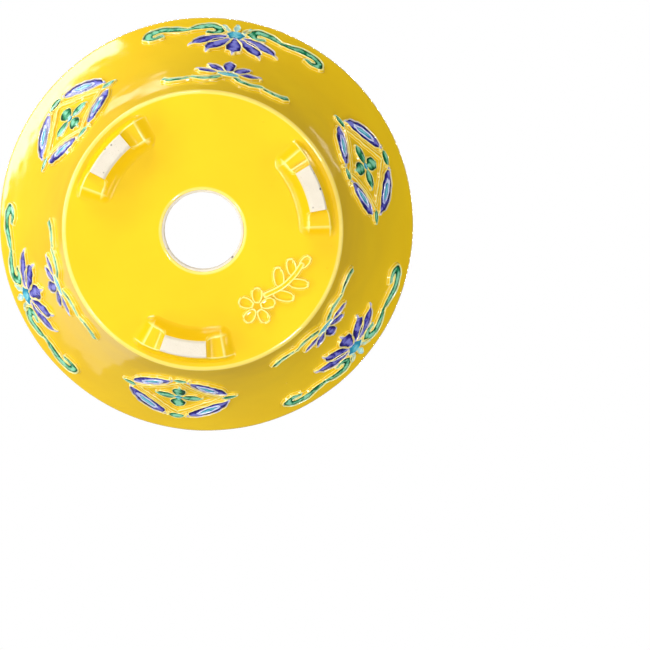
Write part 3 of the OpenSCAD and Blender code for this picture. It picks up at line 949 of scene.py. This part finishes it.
# Point that the lights are turned to
AIM = Vector((0, 0, 0.02))
CAMERA_AT = Vector((0.00986, -0.0175, -0.45053))
CAMERA_FORWARD = Vector((0.0361, 0.0698, 0.9969)).normalized()
# Way that is about down in the picture
CAMERA_DOWN = Vector((0.1554, 0.985, -0.0746))


def add_floor():
    """Pale floor that shows from above only, so that the underside can be seen from below."""
    bpy.ops.mesh.primitive_circle_add(vertices=96, radius=FLOOR_RADIUS, fill_type="NGON",
                                      location=(0, 0, -FLOOR_GAP))
    floor = bpy.context.object
    floor.name = "floor"
    material = bpy.data.materials.new("pale_floor")
    material.use_nodes = True
    tree = material.node_tree
    shader = tree.nodes["Principled BSDF"]
    shader.inputs["Base Color"].default_value = FLOOR_COLOUR
    shader.inputs["Roughness"].default_value = 0.75
    clear = tree.nodes.new("ShaderNodeBsdfTransparent")
    chosen = tree.nodes.new("ShaderNodeMixShader")
    side = tree.nodes.new("ShaderNodeNewGeometry")
    tree.links.new(side.outputs["Backfacing"], chosen.inputs[0])
    tree.links.new(shader.outputs[0], chosen.inputs[1])
    tree.links.new(clear.outputs[0], chosen.inputs[2])
    tree.links.new(chosen.outputs[0], tree.nodes["Material Output"].inputs["Surface"])
    floor.data.materials.append(material)
    floor.visible_shadow = False
    floor.visible_diffuse = False
    floor.visible_glossy = False
    floor.visible_transmission = False


def add_softbox(name, at, size, power):
    """Rectangular white light of that power in watts, turned towards the pot."""
    light = bpy.data.lights.new(name, "AREA")
    light.shape = "RECTANGLE"
    light.size, light.size_y = size
    light.energy = power
    box = bpy.data.objects.new(name, light)
    box.location = at
    box.rotation_euler = (AIM - Vector(at)).to_track_quat("-Z", "Y").to_euler()
    bpy.context.scene.collection.objects.link(box)


def add_world():
    """White backdrop, and a dimmer room for what the pot reflects, brightest below and left."""
    world = bpy.data.worlds.new("studio")
    bpy.context.scene.world = world
    world.use_nodes = True
    tree = world.node_tree
    room = tree.nodes["Background"]
    room.inputs["Color"].default_value = (1, 1, 1, 1)
    backdrop = tree.nodes.new("ShaderNodeBackground")
    backdrop.inputs["Color"].default_value = (1, 1, 1, 1)
    seen = tree.nodes.new("ShaderNodeLightPath")
    chosen = tree.nodes.new("ShaderNodeMixShader")
    way = tree.nodes.new("ShaderNodeTexCoord")
    towards = tree.nodes.new("ShaderNodeVectorMath")
    towards.operation = "DOT_PRODUCT"
    towards.inputs[1].default_value = ROOM_TOWARDS
    tone = tree.nodes.new("ShaderNodeMapRange")
    for key, value in (("From Min", -ROOM_REACH), ("From Max", ROOM_REACH),
                       ("To Min", ROOM_DIM), ("To Max", ROOM_BRIGHT)):
        tone.inputs[key].default_value = value
    tree.links.new(way.outputs["Generated"], towards.inputs[0])
    tree.links.new(towards.outputs["Value"], tone.inputs["Value"])
    tree.links.new(tone.outputs[0], room.inputs["Strength"])
    tree.links.new(seen.outputs["Is Camera Ray"], chosen.inputs[0])
    tree.links.new(room.outputs[0], chosen.inputs[1])
    tree.links.new(backdrop.outputs[0], chosen.inputs[2])
    tree.links.new(chosen.outputs[0], tree.nodes["World Output"].inputs["Surface"])


def add_lights():
    """Small lights for the highlights, strips beside the pot and a soft sun straight above."""
    add_softbox("front_softbox_right", (0.28, -0.26, -0.62), (0.07, 0.07), 1.0)
    add_softbox("front_softbox_far", (0.28, 0.30, -0.62), (0.08, 0.08), 1.75)
    add_softbox("front_softbox_left", (-0.26, 0.28, -0.62), (0.07, 0.07), 0.8)
    add_softbox("side_strip_right", (0.55, 0.05, -0.28), (0.40, 0.05), 0.9)
    add_softbox("side_strip_left", (-0.60, 0.12, -0.25), (0.50, 0.06), 1.9)
    add_softbox("side_softbox_far", (-0.40, 0.45, -0.30), (0.30, 0.05), 1.0)
    add_softbox("key_below", (-0.30, -0.55, -0.25), (0.40, 0.06), 2.2)
    add_softbox("lip_softbox", (-0.757, -0.321, 0.366), (0.92, 0.26), 4.4)
    add_softbox("wall_strip_left", (-0.42, -0.52, 0.76), (0.34, 0.07), 0.11)
    add_softbox("wall_strip_right", (0.48, -0.42, 0.77), (0.25, 0.02), 0.025)
    add_softbox("wall_haze", (-0.42, 0.42, 0.80), (0.5, 0.5), 0.3)
    overhead = bpy.data.lights.new("overhead", "SUN")
    overhead.energy = 2.2
    overhead.angle = math.radians(15)
    bpy.context.scene.collection.objects.link(bpy.data.objects.new("overhead", overhead))


def add_camera():
    """Camera 45 cm below the pot, seeing its base nearly square on."""
    data = bpy.data.cameras.new("camera")
    data.sensor_width = 36
    data.lens = 129.8
    data.clip_start = 0.01
    camera = bpy.data.objects.new("camera", data)
    forward = CAMERA_FORWARD
    down = (CAMERA_DOWN - forward * CAMERA_DOWN.dot(forward)).normalized()
    right = down.cross(forward)
    turn = Matrix((right, -down, -forward)).transposed().to_4x4()
    camera.matrix_world = Matrix.Translation(CAMERA_AT) @ turn
    bpy.context.scene.collection.objects.link(camera)
    bpy.context.scene.camera = camera


add_camera()
add_world()
add_lights()
add_floor()
looks = make_looks()
add_bowl(looks["glaze"], looks["clay"])
for side in SIDES:
    add_foot(side, looks["glaze"], looks["clay"])
    add_lotuses(side, looks)
    add_medallion(side, looks)
add_sprig(looks)
bpy.context.scene.view_settings.view_transform = "Standard"
